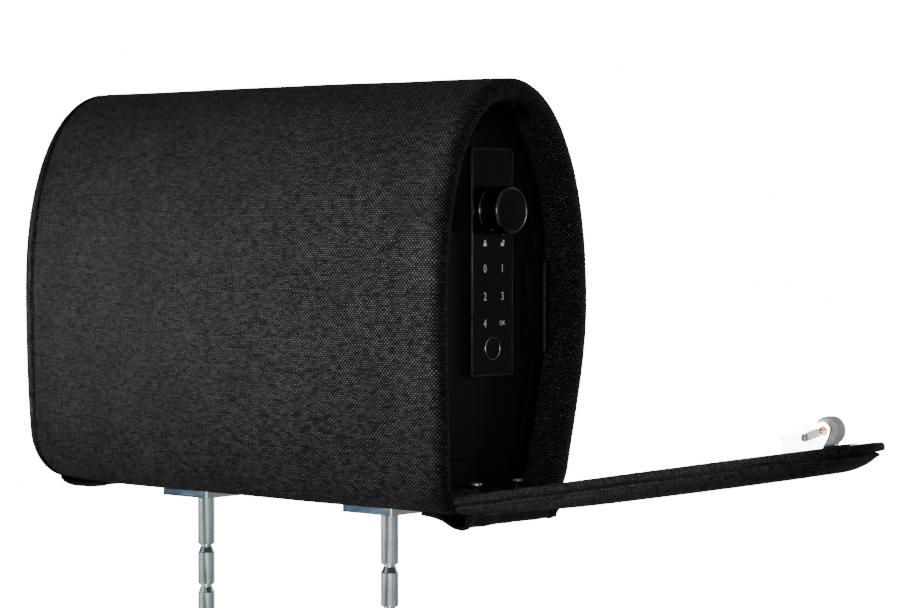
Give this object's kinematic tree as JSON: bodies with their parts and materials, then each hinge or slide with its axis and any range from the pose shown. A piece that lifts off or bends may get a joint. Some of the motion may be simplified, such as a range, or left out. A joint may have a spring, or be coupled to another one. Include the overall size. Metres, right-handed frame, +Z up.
{
  "type": "headrest safe",
  "caption": "Car headrest with a steel safe inside: fabric cover, two notched posts, padded end flap with a roller catch, and a swing door with knob, keypad and fingerprint reader",
  "frame": {"origin": "midway between the two posts, on the plane under their brackets, where the headrest meets the seat sleeves", "axes": "+X along the headrest towards its open end, +Y towards the back of the headrest, +Z up"},
  "size_m": [0.5758, 0.125, 0.4108],
  "materials": {
    "cover_weave": "dark charcoal heathered plain weave",
    "strip_fabric": "black satin strip",
    "foam": "dark foam padding",
    "board": "pressed board",
    "felt": "black felt",
    "black_steel": "black powder coat",
    "zinc": "zinc plated",
    "bright_steel": "bright plated sheet",
    "copper": "copper coloured",
    "grey_plastic": "grey translucent plastic",
    "rubber": "black rubber",
    "black_satin": "satin black",
    "black_gloss": "gloss black",
    "board_green": "green circuit board",
    "battery_wrap": "dark shrink wrap"
  },
  "bodies": {
    "headrest": {"fabric_cover": "cover_weave", "foam_sleeve": "foam", "end_foam": "foam", "left_board": "board", "safe_end_plate": "black_steel", "safe_shell": "black_steel", "left_piping": "cover_weave", "left_pad": "cover_weave", "door_frame": "black_steel", "floor_mat": "felt", "catch_strike": "black_steel", "hinge_arms": "black_steel", "hinge_pin": "zinc", "hinge_strip": "strip_fabric", "end_strip": "strip_fabric", "door_hinge_bracket": "black_steel", "door_hinge_pin": "black_steel", "post_left": "zinc", "post_bracket_left": "zinc", "bracket_bolt_left_front": "zinc", "bracket_bolt_left_back": "zinc", "post_right": "zinc", "post_bracket_right": "zinc", "bracket_bolt_right_front": "zinc", "bracket_bolt_right_back": "zinc", "hinge_arm_screw_front": "zinc", "strike_screw_front": "black_steel", "hinge_arm_screw_back": "zinc", "strike_screw_back": "black_steel"},
    "flap": {"flap_board": "cover_weave", "flap_pad": "cover_weave", "flap_hinge_leaf": "black_steel", "flap_leaf_screw_front": "zinc", "flap_leaf_screw_back": "zinc", "catch_bracket": "bright_steel", "catch_rivet_front": "zinc", "catch_rivet_back": "zinc", "catch_bumper": "rubber", "catch_spring": "zinc"},
    "roller_carrier": {"roller_carrier": "grey_plastic", "roller_axle": "copper"},
    "roller": {"catch_roller": "grey_plastic"},
    "door": {"door_panel": "black_steel", "door_hinge_leaf": "black_steel", "lock_housing": "black_satin", "keypad_face": "black_gloss", "fingerprint_ring": "zinc", "fingerprint_sensor": "black_gloss", "spindle_bush": "zinc", "spindle_nut": "zinc", "lock_rear_cover": "black_satin", "battery_cover": "black_satin", "circuit_board": "board_green", "battery_pack": "battery_wrap"},
    "knob": {"knob": "black_satin", "knob_cap": "black_gloss", "knob_grub_screw": "zinc", "knob_spindle": "zinc", "lock_cam": "zinc", "cam_nut": "zinc"}
  },
  "joints": [
    {"name": "flap_hinge", "type": "hinge", "parent": "headrest", "child": "flap", "pos_m": [0.1558, 0.0186, 0.0118], "axis": [0, 1, 0], "range_deg": [-80.5, 0], "deforming": ["hinge_strip"]},
    {"name": "roller_slide", "type": "slide", "parent": "flap", "child": "roller_carrier", "axis": [0.9455, 0, 0.3256], "range_m": [-0.0073, 0], "stiffness_N_per_m": 600, "springref_m": 0.002, "deforming": ["catch_spring"]},
    {"name": "roller_spin", "type": "hinge", "parent": "roller_carrier", "child": "roller", "pos_m": [0.35843, 0.0186, 0.06021], "axis": [0, 1, 0], "continuous": true},
    {"name": "door_hinge", "type": "hinge", "parent": "headrest", "child": "door", "pos_m": [0.1348, 0.06332, 0.1165], "axis": [0, 0, 1], "range_deg": [0, 90]},
    {"name": "knob_turn", "type": "hinge", "parent": "door", "child": "knob", "pos_m": [0.142, 0.0186, 0.1705], "axis": [1, 0, 0], "range_deg": [0, 90]}
  ]
}
